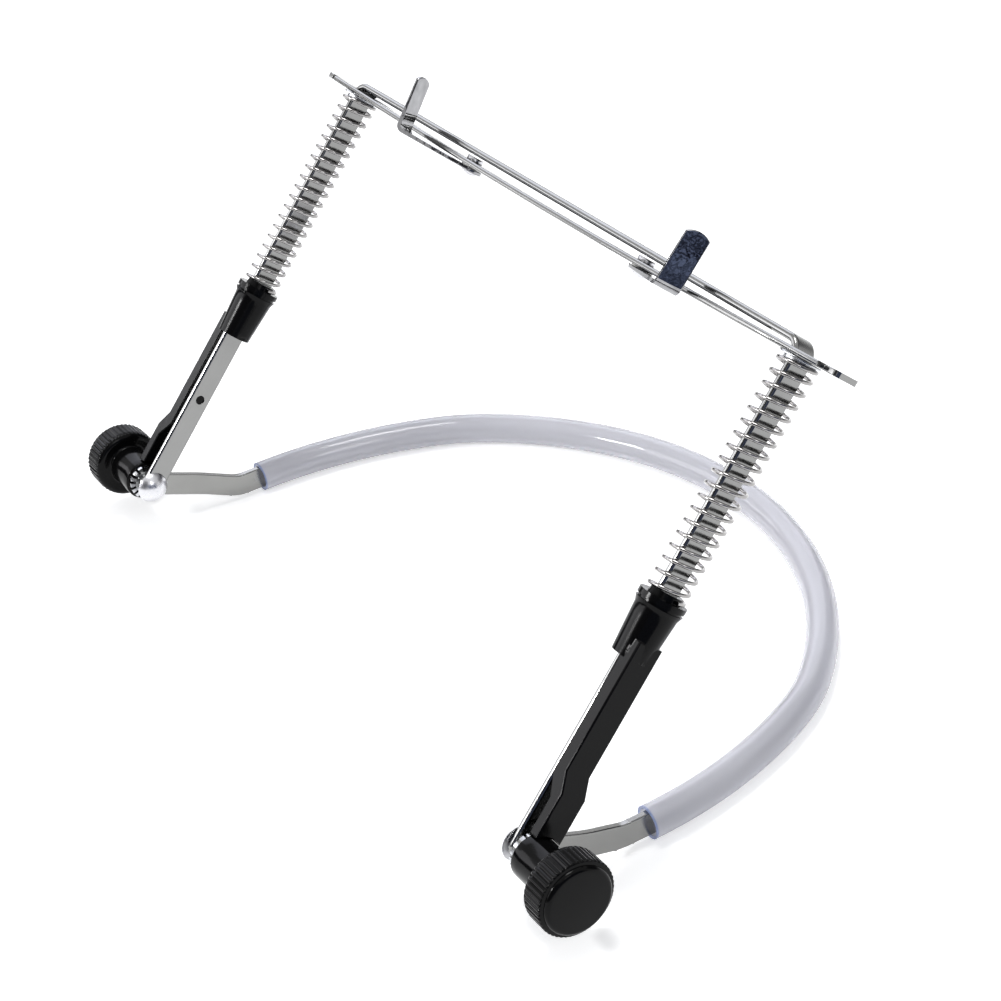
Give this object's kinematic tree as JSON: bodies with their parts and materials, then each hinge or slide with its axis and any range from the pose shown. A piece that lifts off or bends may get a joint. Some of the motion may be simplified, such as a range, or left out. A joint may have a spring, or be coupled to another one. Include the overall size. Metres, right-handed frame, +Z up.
{
  "type": "harmonica holder",
  "caption": "Neck-worn harmonica holder with a tubed neck loop, a tilting sprung clamp frame, side knobs that lock the tilt and swivelling stop clips.",
  "frame": {"origin": "centre of the holder's footprint, on the surface that the neck loop lies on", "axes": "+X along the crossbar, +Y from the pivots towards the back of the neck loop, +Z up"},
  "size_m": [0.2704, 0.1554, 0.1333],
  "materials": {
    "frame_steel": "bright plated steel strip",
    "yoke_steel": "plated steel strip with a soft grain",
    "tube_vinyl": "clear, faintly blue soft vinyl",
    "moulding_black": "black moulded plastic, satin sheen",
    "knob_black": "black moulded plastic, satin face",
    "bolt_chrome": "bright plated dome head",
    "spring_wire": "bright plated spring wire",
    "clip_chrome": "bright plated strip",
    "washer_steel": "bright zinc plated",
    "insert_brass": "turned brass",
    "washer_nylon": "natural nylon"
  },
  "bodies": {
    "neck_loop": {"neck_yoke": "yoke_steel", "neck_tube": "tube_vinyl"},
    "clamp_frame": {"arm_frame": "frame_steel", "arm_sleeve_left": "moulding_black", "arm_sleeve_right": "moulding_black", "pivot_bolt_left": "bolt_chrome", "pivot_bolt_right": "bolt_chrome", "spring_left": "spring_wire", "spring_right": "spring_wire"},
    "plate_carriage": {"slide_plate": "frame_steel", "spring_seat_left": "washer_steel", "spring_seat_right": "washer_steel", "clip_rivet_left": "bolt_chrome", "clip_rivet_right": "bolt_chrome", "clip_washer_left": "washer_nylon", "clip_washer_right": "washer_nylon"},
    "clip_right": {"clip_right": "clip_chrome"},
    "clamp_right": {"lock_washer_right": "washer_steel"},
    "knob_right": {"knob_right": "knob_black", "knob_insert_right": "insert_brass"},
    "clip_left": {"clip_left": "clip_chrome"},
    "clamp_left": {"lock_washer_left": "washer_steel"},
    "knob_left": {"knob_left": "knob_black", "knob_insert_left": "insert_brass"}
  },
  "joints": [
    {"name": "frame_tilt", "type": "hinge", "parent": "neck_loop", "child": "clamp_frame", "pos_m": [0, -0.06731, 0.01561], "axis": [1, 0, 0], "range_deg": [-45, 120]},
    {"name": "plate_slide", "type": "slide", "parent": "clamp_frame", "child": "plate_carriage", "axis": [0, -0.6743, -0.7385], "range_m": [0, 0.036], "stiffness_N_per_m": 500, "springref_m": -0.015, "deforming": ["spring_right", "spring_left"]},
    {"name": "clip_swivel_right", "type": "hinge", "parent": "plate_carriage", "child": "clip_right", "pos_m": [0.0428, 0.02137, 0.11272], "axis": [0, -0.6743, -0.7385], "range_deg": [-1.5, 130]},
    {"name": "clamp_slide_right", "type": "slide", "parent": "clamp_frame", "child": "clamp_right", "axis": [1, 0, 0], "range_m": [0, 0.00105]},
    {"name": "knob_turn_right", "type": "hinge", "parent": "clamp_right", "child": "knob_right", "pos_m": [0.1131, -0.06731, 0.01561], "axis": [1, 0, 0], "range_deg": [-5, 545]},
    {"name": "clip_swivel_left", "type": "hinge", "parent": "plate_carriage", "child": "clip_left", "pos_m": [-0.0428, 0.02137, 0.11272], "axis": [0, 0.6743, 0.7385], "range_deg": [-4.5, 130]},
    {"name": "clamp_slide_left", "type": "slide", "parent": "clamp_frame", "child": "clamp_left", "axis": [-1, 0, 0], "range_m": [0, 0.00105]},
    {"name": "knob_turn_left", "type": "hinge", "parent": "clamp_left", "child": "knob_left", "pos_m": [-0.1131, -0.06731, 0.01561], "axis": [-1, 0, 0], "range_deg": [-5, 545]}
  ],
  "couplings": [
    {"joint": "knob_turn_right", "follows": "clamp_slide_right", "rad_per_m": 8975.9},
    {"joint": "knob_turn_left", "follows": "clamp_slide_left", "rad_per_m": 8975.9}
  ]
}
